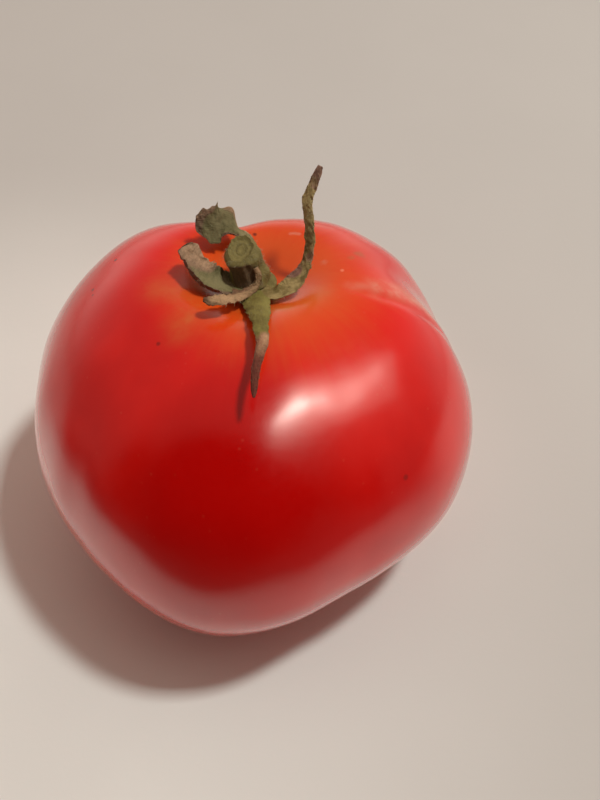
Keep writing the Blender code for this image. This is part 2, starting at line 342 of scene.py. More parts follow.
# soft lines on the skin, seen from above: x and y in mm, each with its width and strength
skinLines = {
    "ochre": (
        (((-15.0, 6.2), (-12.6, 5.6), (-10.6, 4.7), (-8.6, 3.1), (-9.0, 0.0), (-10.3, -3.0)), 2.6, 0.34),
        (((-10.6, 4.9), (-9.2, 4.2), (-8.3, 3.0), (-8.4, 1.2), (-8.9, -1.0)), 1.4, 0.5),
        (((4.6, 3.4), (6.0, 3.2), (7.6, 3.2)), 1.1, 0.75),
        (((8.0, 3.4), (10.5, 4.6), (12.8, 7.2)), 2.0, 0.4),
    ),
    # pale: painted reflections, a soft band along the right groove's edge and two faint gleaming lines behind
    # the pit
    "pale": (
        (((17.5, 8.5), (20.0, 8.9), (24.0, 9.2), (28.0, 9.3), (32.0, 9.4)), 1.1, 0.5),
        (((22.5, 9.4), (26.0, 9.7), (32.0, 10.3)), 2.1, 0.9),
        (((6.9, 22.1), (7.7, 22.2), (8.6, 22.0)), 0.25, 0.8),
        (((9.4, 24.6), (12.4, 25.0), (14.6, 24.6)), 0.3, 0.3),
    ),
}
skin = {
    "deep": srgb(212, 5, 2),
    "bright": srgb(230, 18, 8),
    # the deeper red and the middle of the painted shade on the front
    "ripe": srgb(186, 2, 1),
    "ripest": (0.001, -0.031, 0.046),
    "orange": srgb(222, 88, 26),
    "ochre": srgb(202, 112, 50),
    # the colour of the painted reflections laid along the pale lines
    "paintedGleam": srgb(220, 132, 106),
    "fleck": srgb(224, 104, 80),
    "cloudScale": 46,
    "ripeReach": (0.025, 0.012),  # distance from the middle of the painted shade at which the deeper red starts, and is full
    "ripeStrength": 0.75,
    "orangeReach": (0.021, 0.007),  # the same for the orange, from the pit
    "orangeStrength": 0.84,
    "orangeSide": (0.62, -0.42, 0.0),  # the side towards which it is broader
    "orangeLean": -0.24,
    "orangeShift": -0.003,
    "jitter": 0.0028,  # how ragged its edge and the marks' edges are
    "poreStrength": 0.12,
    "roughness": (0.19, 0.25),
    "bump": (0.04, 0.0005),
    "shader": {
        "Coat Weight": 1.0, "Coat Roughness": 0.185, "Sheen Weight": 0.04, "Sheen Roughness": 0.25,
        "Sheen Tint": (1.0, 0.86, 0.8, 1.0), "Subsurface Weight": 0.10,
        "Subsurface Radius": (0.004, 0.0008, 0.0004), "Subsurface Scale": 1.0,
    },
    # marks on the skin: x, y, z and radius in mm, colour, strength
    "marks": (
        # the first mark is a painted glint on the skin beside the right sepal's bend
        (12.8, 14.4, 55.8, 0.9, srgb(206, 132, 104), 0.65),
        (19.0, 17.5, 54.4, 1.0, srgb(168, 88, 42), 0.6),
        (17.6, 16.0, 54.9, 0.7, srgb(176, 92, 40), 0.5),
        (16.2, 12.4, 55.6, 0.35, srgb(240, 130, 90), 0.8),
        (19.4, 13.6, 55.0, 0.3, srgb(236, 118, 84), 0.7),
        (-23.9, 16.2, 52.6, 0.32, srgb(70, 22, 14), 0.9),
        (-27.1, 10.0, 51.3, 0.30, srgb(80, 26, 16), 0.8),
        (-26.8, 8.5, 51.5, 0.24, srgb(80, 26, 16), 0.7),
        (-13.4, -5.2, 55.4, 0.36, srgb(120, 20, 14), 0.7),
        (-11.9, -37.4, 22.5, 0.34, srgb(60, 18, 14), 0.9),
        (0.6, 21.5, 54.9, 0.36, srgb(96, 24, 18), 0.8),
        (27.6, -19.3, 40.2, 0.5, srgb(128, 22, 16), 0.6),
        (20.4, -25.0, 41.0, 0.35, srgb(120, 14, 12), 0.5),
    ),
}


def skinMaterial():
    material, tree, shader = newMaterial("tomatoSkin")
    place = placeOf(tree)
    jitter = addNode(tree, "ShaderNodeTexNoise", {"Vector": place, "Scale": 260.0, "Detail": 3.0})
    shift = vectorMaths(tree, "SUBTRACT", jitter.outputs["Color"], (0.5, 0.5, 0.5))
    shift = vectorMaths(tree, "MULTIPLY", shift, (skin["jitter"],) * 3)
    rough = vectorMaths(tree, "ADD", place, shift)
    fromPit = distanceTo(tree, rough, fruit["pitCentre"])
    lines = addNode(tree, "ShaderNodeSeparateXYZ", {0: kept(tree, "lines")}).outputs

    # broad clouds of deeper and brighter red
    clouds = noise(tree, place, skin["cloudScale"], 3, 0.5)
    colour = blend(tree, remap(tree, clouds, 0.36, 0.66), skin["deep"], skin["bright"])

    # faint streaks that run from the pit down the sides
    given = {"Vector": kept(tree, "meridian"), "Scale": (9.0, 9.0, 2.2)}
    streaks = noise(tree, addNode(tree, "ShaderNodeMapping", given).outputs["Vector"], 2.2, 5, 0.6)
    colour = blend(tree, remap(tree, streaks, 0.3, 0.75, 0.0, 0.12), colour, skin["bright"])

    # painted shade: a deeper red on the front, the side towards the viewer, where little light falls
    ripe = distanceTo(tree, place, skin["ripest"])
    ripe = remap(tree, ripe, *skin["ripeReach"], 0.0, skin["ripeStrength"])
    colour = blend(tree, ripe, colour, skin["ripe"])

    # orange shoulders round the pit, broader towards the right and the front
    lean = vectorMaths(tree, "DOT_PRODUCT", place, skin["orangeSide"], "Value")
    lean = maths(tree, "ADD", maths(tree, "MULTIPLY", lean, skin["orangeLean"]), skin["orangeShift"])
    ragged = maths(tree, "MULTIPLY", maths(tree, "SUBTRACT", streaks, 0.5), 0.005)
    reach = maths(tree, "ADD", maths(tree, "ADD", fromPit, ragged), lean)
    orange = remap(tree, reach, *skin["orangeReach"], 0.0, skin["orangeStrength"])
    colour = blend(tree, orange, colour, skin["orange"])

    # ochre rims of the pit, and painted reflections in pale pink along the right groove's edge and behind the
    # pit, broken by noise
    broken = remap(tree, noise(tree, place, 240, 4, 0.6), 0.32, 0.6, 0.35, 1.0)
    colour = blend(tree, maths(tree, "MULTIPLY", lines["X"], broken, clamp=True), colour, skin["ochre"])
    colour = blend(tree, maths(tree, "MULTIPLY", lines["Y"], broken, clamp=True), colour, skin["paintedGleam"])

    # pale pores
    pores = addNode(tree, "ShaderNodeTexVoronoi", {"Vector": place, "Scale": 560.0}).outputs["Distance"]
    some = noise(tree, place, 160, 3, 0.6, 0.6)
    poreMask = maths(tree, "MULTIPLY", remap(tree, pores, 0.2, 0.06), remap(tree, some, 0.48, 0.7))
    colour = blend(tree, maths(tree, "MULTIPLY", poreMask, skin["poreStrength"]), colour, skin["fleck"])

    for x, y, z, radius, tone, strength in skin["marks"]:
        spot = distanceTo(tree, rough if radius > 0.6 else place, (x * mm, y * mm, z * mm))
        spot = remap(tree, spot, radius * 1.5 * mm, radius * 0.4 * mm, 0, strength)
        colour = blend(tree, spot, colour, tone)
    setInput(tree, shader, "Base Color", colour)

    grain = noise(tree, place, 900, 3, 0.6)
    setInput(tree, shader, "Roughness", remap(tree, grain, 0.3, 0.7, *skin["roughness"]))
    dimples = noise(tree, place, 330, 2, 0.5)
    height = maths(tree, "ADD", dimples, maths(tree, "MULTIPLY", grain, 0.18))
    addBump(tree, shader, height, *skin["bump"])
    for label, value in skin["shader"].items():
        shader.inputs[label].default_value = value
    return material


def tissueGroup():
    # Green tissue that dries to brown: colour, height and roughness from the place, the blade's own
    # coordinates, how dry it is and how pale.
    group = bpy.data.node_groups.new("leafTissue", "ShaderNodeTree")
    for kind, labels in (
        ("Vector", ("Place", "Blade")),
        ("Float", ("Dry", "Pale")),
        ("Color", ("Green", "Light", "Brown", "Dark", "Tan")),
    ):
        for label in labels:
            group.interface.new_socket(label, in_out="INPUT", socket_type="NodeSocket" + kind)
    for label, kind in (("Colour", "Color"), ("Height", "Float"), ("Roughness", "Float")):
        group.interface.new_socket(label, in_out="OUTPUT", socket_type="NodeSocket" + kind)
    given = group.nodes.new("NodeGroupInput").outputs
    out = group.nodes.new("NodeGroupOutput")

    stretched = {"Vector": given["Blade"], "Scale": (2.2, 0.35, 1.0)}
    veins = noise(group, addNode(group, "ShaderNodeMapping", stretched).outputs[0], 2.6, 4, 0.6, 0.3)
    blotch = noise(group, given["Place"], 420, 4, 0.6)
    fine = noise(group, given["Place"], 2400, 3, 0.6)
    green = blend(group, remap(group, blotch, 0.35, 0.65, 0, 0.75), given["Green"], given["Light"])
    green = blend(group, remap(group, veins, 0.52, 0.7, 0, 0.4), green, given["Light"])
    green = blend(group, given["Pale"], green, given["Light"])
    brown = blend(group, remap(group, fine, 0.3, 0.7, 0, 0.6), given["Brown"], given["Dark"])
    brown = blend(group, remap(group, veins, 0.3, 0.5, 0.4, 0.0), brown, given["Dark"])
    tan = blend(group, remap(group, fine, 0.3, 0.7, 0, 0.4), given["Tan"], given["Brown"])
    brown = blend(group, given["Pale"], brown, tan)
    uneven = maths(group, "MULTIPLY", maths(group, "SUBTRACT", blotch, 0.5), 0.7)
    edge = maths(group, "ADD", given["Dry"], uneven)
    setInput(group, out, "Colour", blend(group, remap(group, edge, 0.35, 0.75), green, brown))
    setInput(group, out, "Height", maths(group, "ADD", veins, maths(group, "MULTIPLY", fine, 0.35)))
    setInput(group, out, "Roughness", remap(group, blotch, 0.3, 0.7, 0.55, 0.8))
    return group


tissue = {
    "calyxLeaf": {
        "Green": srgb(102, 90, 42), "Light": srgb(134, 126, 66), "Tan": srgb(184, 146, 108),
        "Brown": srgb(118, 58, 42), "Dark": srgb(78, 34, 28),
    },
    "calyxRight": {
        "Green": srgb(108, 92, 48), "Light": srgb(178, 156, 104), "Tan": srgb(176, 142, 114),
        "Brown": srgb(140, 102, 84), "Dark": srgb(96, 64, 54),
    },
    "calyxBack": {
        "Green": srgb(98, 92, 56), "Light": srgb(132, 122, 84), "Tan": srgb(188, 152, 118),
        "Brown": srgb(124, 100, 78), "Dark": srgb(78, 56, 40),
    },
    "calyxDry": {
        "Green": srgb(144, 112, 80), "Light": srgb(178, 144, 106), "Tan": srgb(190, 156, 116),
        "Brown": srgb(114, 80, 56), "Dark": srgb(64, 40, 28),
    },
    "stalkTissue": {
        "Green": srgb(106, 94, 50), "Light": srgb(140, 128, 76), "Tan": srgb(168, 142, 104),
        "Brown": srgb(88, 62, 44), "Dark": srgb(58, 38, 28),
    },
}
tissueBump = (0.5, 0.0003)
tissueGloss = 0.35


def tissueMaterial(name, group):
    material, tree, shader = newMaterial(name)
    given = {"Place": placeOf(tree), "Blade": kept(tree, "blade"), "Dry": kept(tree, "dry", "Fac")}
    given["Pale"] = kept(tree, "pale", "Fac")
    given.update({label: (*colour, 1.0) for label, colour in tissue[name].items()})
    made = addNode(tree, "ShaderNodeGroup", given, node_tree=group).outputs
    setInput(tree, shader, "Base Color", made["Colour"])
    setInput(tree, shader, "Roughness", made["Roughness"])
    addBump(tree, shader, made["Height"], *tissueBump)
    shader.inputs["Specular IOR Level"].default_value = tissueGloss
    return material


# stations from root to tip, mm: midrib x, y, z, half width, bend in degrees (over 0 a trough), the inner
# face's direction, and how dry the blade is there (0 fresh green, 1 brown).
# patches: share of the length, place across, their two sizes, faces ("in", "out" or "both"), dry, pale.
# teeth: share of the length, edge (+1 or -1), how far it stands out in mm, share of the length it takes.
sepals = {
    "front": {
        "material": "calyxLeaf", "rows": 190, "margin": 0.22, "crinkle": 0.055, "rag": 0.035, "blunt": 0.3,
        "stations": (
            (1.3, 9.8, 53.6, 2.2, -5, 0, 0.3, 1, 0.0),
            (1.6, 6.4, 55.0, 2.4, -10, 0, 0.2, 1, 0.0),
            (2.1, 2.4, 57.2, 2.2, -20, -0.1, 0.1, 1, 0.0),
            (2.8, -2.0, 59.4, 1.6, -30, -0.1, 0, 1, 0.0),
            (3.2, -5.3, 60.2, 1.25, -30, 0, 0, 1, 0.15),
            (3.6, -8.3, 60.5, 1.0, -10, 0.1, 0, 1, 0.6),
            (3.3, -11.0, 60.5, 0.8, 0, 0, 0, 1, 1.1),
            (2.9, -13.6, 60.2, 0.7, 0, -0.2, 0, 1, 1.2),
            (2.8, -16.0, 59.6, 0.6, 0, -0.2, 0, 1, 1.1),
            (2.8, -18.0, 58.9, 0.4, 0, -0.2, 0, 1, 0.8),
        ),
        "patches": (
            # the first patch is painted light: the right edge near the root is paler as the lit side
            (0.20, -0.8, 0.16, 0.5, "both", -0.2, 0.9),
            (0.53, -0.4, 0.05, 0.9, "both", 0.45, 1.0),
            (0.62, 0.0, 0.06, 1.2, "both", 0.1, 0.6),
            (0.22, 0.8, 0.12, 0.4, "both", 0.1, -0.3),
        ),
        "teeth": ((0.14, 1, 0.35, 0.03), (0.30, -1, 0.2, 0.03)),
    },
    "right": {
        "material": "calyxRight", "rows": 210, "margin": 0.2, "crinkle": 0.08, "rag": 0.04, "blunt": 0.75,
        "stations": (
            (1.8, 9.4, 53.6, 1.7, 5, 0, 0, 1, 0.0),
            (4.2, 7.0, 55.0, 1.6, 10, 0, 0.1, 1, 0.0),
            (6.7, 7.2, 55.9, 2.0, 15, -0.2, 0.1, 1, 0.0),
            (8.7, 9.2, 56.5, 2.0, 25, -0.4, 0, 0.9, 0.1),
            (9.9, 11.5, 57.4, 1.4, 30, -0.6, -0.2, 0.6, 0.25),
            (10.5, 12.8, 59.1, 1.15, 25, -0.6, -0.5, 0.4, 0.15),
            (10.5, 14.1, 61.7, 0.98, 15, -0.5, -0.7, 0.4, 0.0),
            (10.2, 15.3, 64.1, 0.92, 10, -0.4, -0.8, 0.4, 0.0),
            (9.8, 16.4, 66.3, 0.88, 5, -0.3, -0.8, 0.4, 0.0),
            (10.1, 17.4, 68.1, 0.85, 0, -0.3, -0.8, 0.4, 0.1),
            (10.9, 18.4, 70.1, 0.8, 0, -0.3, -0.8, 0.4, 0.55),
            (11.7, 19.4, 72.2, 0.6, 0, -0.3, -0.8, 0.4, 1.0),
        ),
        "patches": (
            (0.30, -0.7, 0.05, 0.7, "both", 0.9, -0.4),
            (0.43, 0.2, 0.045, 1.0, "both", 0.55, 1.0),
            (0.48, 0.6, 0.03, 0.6, "both", 0.3, 0.7),
            (0.87, 0.4, 0.018, 0.8, "both", 0.3, 1.0),
            (0.74, 0.0, 0.20, 4.0, "both", 0.0, 1.0),
            (0.22, -0.6, 0.10, 0.5, "both", 0.1, -0.6),
            (0.12, 0.7, 0.08, 0.5, "both", 0.1, 0.2),
        ),
        "teeth": ((0.36, 1, 0.4, 0.02), (0.55, -1, 0.15, 0.02), (0.78, -1, 0.3, 0.03)),
    },
    "left": {
        "material": "calyxBack", "rows": 160, "margin": 0.45, "crinkle": 0.10, "rag": 0.05, "blunt": 0.9,
        "stations": (
            (-0.4, 10.4, 53.6, 1.8, 20, 0.1, 0.1, 1, 0.0),
            (-2.7, 9.1, 54.3, 3.0, 40, 0.2, 0.1, 1, 0.0),
            (-4.5, 8.3, 55.2, 3.5, 55, 0.3, 0, 0.9, 0.0),
            (-6.2, 8.0, 56.1, 3.7, 64, 0.4, 0, 0.9, 0.1),
            (-7.8, 8.6, 56.8, 3.6, 68, 0.6, 0, 0.8, 0.25),
            (-9.0, 9.7, 57.5, 3.4, 64, 0.7, -0.1, 0.7, 0.4),
            (-10.1, 11.3, 58.7, 2.6, 52, 0.8, -0.3, 0.6, 0.5),
            (-10.8, 12.1, 60.4, 1.7, 40, 0.8, -0.4, 0.5, 0.5),
        ),
        "patches": (
            # the first patch is painted light: the inner floor is pale green as the lit side
            (0.30, 0.0, 0.16, 0.6, "in", -0.3, 1.0),
            (0.65, 0.85, 0.30, 0.5, "in", 0.8, 1.0),
            (0.95, 0.0, 0.18, 1.2, "in", 0.6, 0.9),
            (0.50, -0.9, 0.40, 0.25, "both", 0.6, -0.5),
            (0.45, -0.5, 0.5, 0.6, "out", 0.25, -0.6),
        ),
        "teeth": ((0.62, 1, 0.5, 0.04), (0.93, 1, 0.6, 0.05), (0.9, -1, 0.4, 0.04)),
    },
    "back": {
        "material": "calyxBack", "rows": 160, "margin": 0.25, "crinkle": 0.10, "rag": 0.05, "blunt": 0.8,
        "stations": (
            (0.4, 12.4, 53.7, 1.7, 5, 0, 0, 1, 0.0),
            (-0.6, 15.0, 54.4, 1.7, 5, 0, 0.1, 1, 0.0),
            (-0.5, 17.3, 56.0, 1.6, 5, 0, 0.3, 1, 0.1),
            (-1.1, 18.5, 57.1, 1.3, 5, 0, 0.3, 1, 0.1),
            (-2.7, 19.2, 57.6, 1.2, 5, 0, 0, 1, 0.1),
            (-4.5, 19.9, 58.3, 2.5, 10, 0.1, -0.6, 0.8, 0.0),
            (-6.2, 19.5, 58.8, 3.0, 15, 0.1, -0.8, 0.6, 0.0),
            (-8.0, 19.1, 59.3, 2.5, 20, 0.3, -0.8, 0.5, 0.3),
            (-9.4, 18.7, 59.6, 1.5, 20, 0.4, -0.8, 0.5, 0.9),
        ),
        "patches": (
            (0.40, 0.3, 0.10, 0.8, "both", 0.0, 0.9),
            (0.97, 0.6, 0.10, 0.9, "both", 0.6, 0.3),
            (0.84, 0.9, 0.10, 0.3, "both", 0.6, 0.4),
            (0.72, 0.3, 0.05, 0.9, "in", 0.0, 0.8),
            (0.50, -0.9, 0.12, 0.4, "both", 0.9, -0.6),
            (0.44, 0.95, 0.16, 0.3, "both", 0.5, 1.0),
            (0.63, 1.0, 0.04, 0.2, "both", 0.4, 1.0),
        ),
        "teeth": ((0.62, 1, 0.7, 0.035), (0.75, 1, 0.9, 0.018), (0.72, -1, 0.4, 0.04), (0.9, 1, 0.4, 0.03)),
    },
    "dry": {
        "material": "calyxDry", "rows": 150, "margin": 0.35, "crinkle": 0.13, "rag": 0.05, "blunt": 0.5,
        "stations": (
            (1.5, 9.4, 58.6, 0.5, 0, 0.5, -0.7, 0.4, 0.3),
            (2.0, 8.9, 57.2, 0.6, 0, 0.5, -0.7, 0.5, 0.3),
            (1.5, 7.9, 55.8, 0.7, 0, 0.3, -0.5, 0.9, 0.3),
            (0.1, 6.2, 55.9, 0.85, 10, 0.1, -0.2, 1, 0.3),
            (-1.3, 3.8, 57.1, 1.0, 15, 0.1, 0, 1, 0.1),
            (-2.8, 1.9, 58.6, 1.1, 15, 0.1, 0, 1, 0.0),
            (-4.6, 0.6, 59.6, 1.05, 10, 0, 0, 1, 0.3),
            (-6.4, 0.5, 59.9, 0.8, 0, 0, 0, 1, 0.7),
        ),
        "patches": (
            (0.68, 0.0, 0.12, 0.8, "both", -0.2, 1.0),
            (0.40, 0.5, 0.08, 0.6, "both", 0.4, 0.2),
            (0.50, 1.0, 0.07, 0.5, "both", 0.8, 0.0),
        ),
        "teeth": ((0.50, 1, 1.0, 0.05), (0.8, 1, 0.3, 0.04)),
    },
}
blade = {
    "around": 60,
    "thickness": 0.62,  # mm, as the three below
    "marginThickness": 0.22,
    "rib": 0.22,
    "leastHalfWidth": 0.3,
    "ribWidth": 0.13,  # share of the half width
    "leastBend": 0.02,
    "tipTaper": 1 / 14,  # share of the length
}


def sepalSurface(name):
    # A lens-shaped loop carried along the midrib. The loop's place across the blade is the cosine of its
    # turn, bent on an arc; its sine lifts it off the arc by half the thickness. A rib stands on the outer
    # face, teeth are Gaussian bumps on the half width, and crinkles push the surface along its normal.
    sepal = sepals[name]
    count = sepal["rows"]
    rows = smoothThrough(sepal["stations"], count)
    along = np.linspace(0, 1, count)[:, None]
    midrib = rows[:, :3] * mm
    bend = np.radians(rows[:, 4])
    bend = np.where(np.abs(bend) < blade["leastBend"], blade["leastBend"], bend)
    forward = unit(np.gradient(midrib, axis=0))
    facing = rows[:, 5:8]
    facing = unit(facing - forward * np.sum(facing * forward, axis=1, keepdims=True))
    side = np.cross(forward, facing)

    turn = np.linspace(0, 2 * np.pi, blade["around"], endpoint=False)
    across = np.cos(turn)[None, :] + 0 * along
    outer = (np.sin(turn) < 0)[None, :] & (along >= 0)
    seed = seedOf["blade"] + sum(map(ord, name))
    step = np.linalg.norm(np.diff(midrib, axis=0), axis=1)
    length = np.concatenate([[0], np.cumsum(step)])[:, None] / mm + 0 * across
    rag = waves(length * 0.55, np.sign(across) * 3.1, seed=seed, lowest=0.3, highest=1.4)
    rag = sepal["rag"] * rag * np.abs(across) ** 2 * np.clip(along * 6, 0, 1)
    for place, edge, height, share in sepal["teeth"]:
        bump = height / rows[:, 3:4] * np.exp(-(((along - place) / share) ** 2))
        rag = rag + bump * np.clip(across * edge, 0, 1) ** 3
    tipTaper = np.clip((1 - along) / blade["tipTaper"], 0, 1) ** 0.5
    tipWide = sepal["blunt"] + (1 - sepal["blunt"]) * tipTaper
    halfWidth = np.maximum(rows[:, 3:4], blade["leastHalfWidth"]) * mm * (1 + rag) * tipWide
    angle = bend[:, None] * across
    arcRadius = halfWidth / bend[:, None]
    middle = (
        midrib[:, None]
        + (arcRadius * np.sin(angle))[..., None] * side[:, None]
        + (arcRadius * (1 - np.cos(angle)))[..., None] * facing[:, None]
    )
    normal = np.cos(angle)[..., None] * facing[:, None] - np.sin(angle)[..., None] * side[:, None]
    thicker = (blade["thickness"] - blade["marginThickness"]) * (1 - np.abs(across) ** 2.5)
    half = (blade["marginThickness"] + thicker) / 2 * mm * (0.4 + 0.6 * tipTaper)
    lift = np.sign(np.sin(turn)) * np.abs(np.sin(turn)) ** 0.45
    rib = blade["rib"] * mm * np.exp(-((across / blade["ribWidth"]) ** 2)) * outer
    rib = rib * np.clip((1 - along) * 5, 0, 1)
    crinkle = waves(length * 0.4, across * 0.9, seed=seed + 1, lowest=0.5, highest=1.8)
    crinkle = crinkle + 0.5 * waves(length * 1.2, across * 1.8, seed=seed + 2, lowest=0.6, highest=2.2)
    crinkle = sepal["crinkle"] * mm * crinkle * (0.35 + 0.65 * np.abs(across)) * np.clip(along * 5, 0, 1)
    points = middle + normal * (half * lift[None, :] - rib + crinkle)[..., None]

    dry = rows[:, 8:9] + sepal["margin"] * np.clip((np.abs(across) - 0.5) / 0.5, 0, 1) ** 1.8
    pale = 0 * across
    for place, offset, longSize, wideSize, faces, addDry, addPale in sepal["patches"]:
        patch = np.exp(-(((along - place) / longSize) ** 2) - ((across - offset) / wideSize) ** 2)
        patch = patch * {"in": ~outer, "out": outer, "both": 1}[faces]
        dry, pale = dry + addDry * patch, pale + addPale * patch
    own = np.stack([across * halfWidth / mm, length, np.where(outer, 7.0, 0.0)], axis=-1)
    return points, {"dry": dry, "pale": np.clip(pale, 0, 1), "blade": own}, normal * lift[None, :, None]


def closeTube(points, marks):
    # the grid's points and marks as rows, with a pole at each end at the ring's mean
    def flat(grid):
        wide = grid.reshape(grid.shape[0], grid.shape[1], -1)
        rows = np.vstack([wide.reshape(-1, wide.shape[2]), wide[0].mean(axis=0), wide[-1].mean(axis=0)])
        return rows if grid.ndim == 3 else rows[:, 0]
    return flat(points), {label: flat(values) for label, values in marks.items()}


def buildSepals(materials):
    surfaces = []
    for name, sepal in sepals.items():
        points, marks, normal = sepalSurface(name)
        surfaces.append((points, normal))
        flat, marks = closeTube(points, marks)
        faces = [f[:, ::-1] for f in tubeFaces(*points.shape[:2])]
        made = putMesh("sepal_" + name, flat, faces, materials[sepal["material"]], marks)
        dress(made, "calyx")
    print("sepals built", len(surfaces))
    return surfaces


hub = {
    "radius": 0.0035, "gap": 0.0004, "thickness": 0.0019, "rimThickness": 0.0008, "rings": 18, "segments": 90,
    "dry": 0.25,
}
stalk = {
    "root": (0.5, 11.3, 53.9),
    "top": (-1.2, 12.0, 60.4),
    "profile": (
        (0.00, 3.5), (0.18, 3.5), (0.36, 3.25), (0.52, 3.05),
        (0.68, 3.2), (0.82, 3.2), (0.93, 2.8), (1.00, 2.2),
    ),  # share of the height, radius in mm
    "cutSlope": 0.42,
    "rows": 130,
    "around": 144,
    "ridges": 0.07,  # mm, as the three below
    "lumps": 0.09,
    "cutDip": 0.35,
    "cutRings": 0.025,
    "hollow": (-100.0, 40.0, 0.50, 0.36, 0.45),  # azimuth, half width, height share and its size, depth in mm
    "rim": 0.30,  # mm, the ridge that runs down beside the hollow
}


def buildHub(material):
    # A low dome over the pit: its underside follows the skin, and its top is higher by a thickness that thins
    # with the square of the distance from the middle.
    turn = np.linspace(0, 2 * np.pi, hub["segments"], endpoint=False)
    share = np.linspace(0, 1, hub["rings"] + 1)[1:]
    azimuth, part = np.meshgrid(turn, share)
    under = fruitSurface(azimuth, alongAt(part * hub["radius"])) + [0, 0, hub["gap"]]
    thickness = hub["thickness"] + (hub["rimThickness"] - hub["thickness"]) * part**2
    over = under + thickness[..., None] * np.array([0, 0, 1])
    grid = np.concatenate([over, under[::-1]])
    pole = fruitSurface(np.zeros(1), np.zeros(1)) + [0, 0, hub["gap"]]
    points = np.vstack([grid.reshape(-1, 3), pole + [0, 0, hub["thickness"]], pole])
    marks = {"dry": np.full(len(points), hub["dry"]), "pale": np.zeros(len(points)), "blade": points / mm}
    made = putMesh("calyx_hub", points, tubeFaces(*grid.shape[:2]), material, marks)
    return dress(made, "calyx")


def stalkSurface():
    # The profile turned round the stalk's axis, with low ridges and lumps. A hollow that falls off with the
    # fourth power of the distance, and a ridge beside it, shape the front. The cut face is rings that shrink
    # to its middle and dip a little, on a slope.
    root, top = np.array(stalk["root"]) * mm, np.array(stalk["top"]) * mm
    axis = unit(top - root)
    side = unit(np.cross(axis, [0.0, 1.0, 0.0]))
    other = np.cross(axis, side)
    shares, radii = np.array(stalk["profile"]).T
    place = np.linspace(0, 1, stalk["rows"])
    kernel = np.hanning(15) / np.hanning(15).sum()
    radius = np.convolve(np.pad(np.interp(place, shares, radii), 7, mode="edge"), kernel, mode="valid")
    turn = np.linspace(0, 2 * np.pi, stalk["around"], endpoint=False)
    ring = np.cos(turn)[:, None] * side + np.sin(turn)[:, None] * other
    azimuth = np.degrees(np.arctan2(ring[:, 1], ring[:, 0]))[None]
    place, turn = place[:, None], turn[None]
    ridges = waves(np.cos(turn) * 1.4, np.sin(turn) * 1.4, seed=seedOf["stalk"], lowest=0.8, highest=2.2)
    around = (np.cos(turn) + 0 * place, np.sin(turn) + 0 * place, place * 2 + 0 * turn)
    lumps = waves(*around, seed=seedOf["stalk"] + 1, lowest=0.4, highest=1.2)
    centre, halfWidth, level, tall, depth = stalk["hollow"]
    off = (azimuth - centre + 180) % 360 - 180
    hollow = np.exp(-((off / halfWidth) ** 4) - ((place - level) / tall) ** 4)
    ridge = np.exp(-(((off - halfWidth * 1.25) / 11) ** 2)) * np.clip(1.4 - place * 1.5, 0, 1)
    wide = radius[:, None] + stalk["ridges"] * ridges + stalk["lumps"] * lumps
    wide = (wide - depth * hollow + stalk["rim"] * ridge) * mm
    slope = stalk["cutSlope"] * ring[:, 1:2] * axis
    body = root + (top - root) * place[..., None] + wide[..., None] * (ring + slope * place[..., None] ** 4)
    inward = np.linspace(0.97, 0.05, 26)[:, None]
    rings = stalk["cutRings"] * np.cos(inward * 16) * (inward < 0.85)
    sunk = (stalk["cutDip"] * (1 - inward**4) + rings) * mm
    face = top + (inward * wide[-1:])[..., None] * (ring + slope) - sunk[..., None] * axis
    points = np.concatenate([body, face])
    edgeDry = np.clip((place - 0.93) / 0.07, 0, 1) * 0.25
    # the hollow is painted dark brown: partly dried tissue, partly painted shade in the recess, with some tan
    # mixed in
    sideDryAndShade = 0.08 + edgeDry + 1.5 * hollow + 0.5 * ridge + 0 * turn
    sidePale = 0.9 * ridge + 0.7 * np.clip(place - 0.55, 0, 1) + 0.35 * hollow
    faceDry = 0.35 * np.exp(-(((inward - 0.92) / 0.08) ** 2)) + 0 * turn
    facePale = 0.4 + 0.35 * np.cos(inward * 10) + 0 * turn
    marks = {
        "dry": np.concatenate([sideDryAndShade, faceDry]),
        "pale": np.clip(np.concatenate([sidePale, facePale]), 0, 1),
        "blade": np.stack([
            np.concatenate([turn * 3.0 + 0 * place, inward * 3 + 0 * turn]),
            np.concatenate([place * 6 + 0 * turn, 6 + 0 * inward + 0 * turn]),
            np.zeros(points.shape[:2]),
        ], axis=-1),
    }
    outward = np.concatenate([np.broadcast_to(ring, body.shape), np.broadcast_to(axis, face.shape)])
    outward = outward * (np.concatenate([hollow + 0 * turn, 0 * inward + 0 * turn]) < 0.2)[..., None]
    return points, marks, outward


def buildStalk(material):
    points, marks, outward = stalkSurface()
    flat, marks = closeTube(points, marks)
    faces = [f[:, ::-1] for f in tubeFaces(*points.shape[:2])]
    dress(putMesh("stalk_stump", flat, faces, material, marks), "calyx")
    print("hub and stalk built")
    return points, outward


hairs = {
    "count": 2600,
    "length": (0.25, 0.75),  # mm
    "radius": 0.016,
    "sunk": 0.03,
    "spread": 0.27,
    "curl": 0.18,
    "joint": 0.55,  # share of the length at which a hair bends
    "from": 0.08,  # shares of each surface's length between which hairs grow
    "to": 0.96,
}


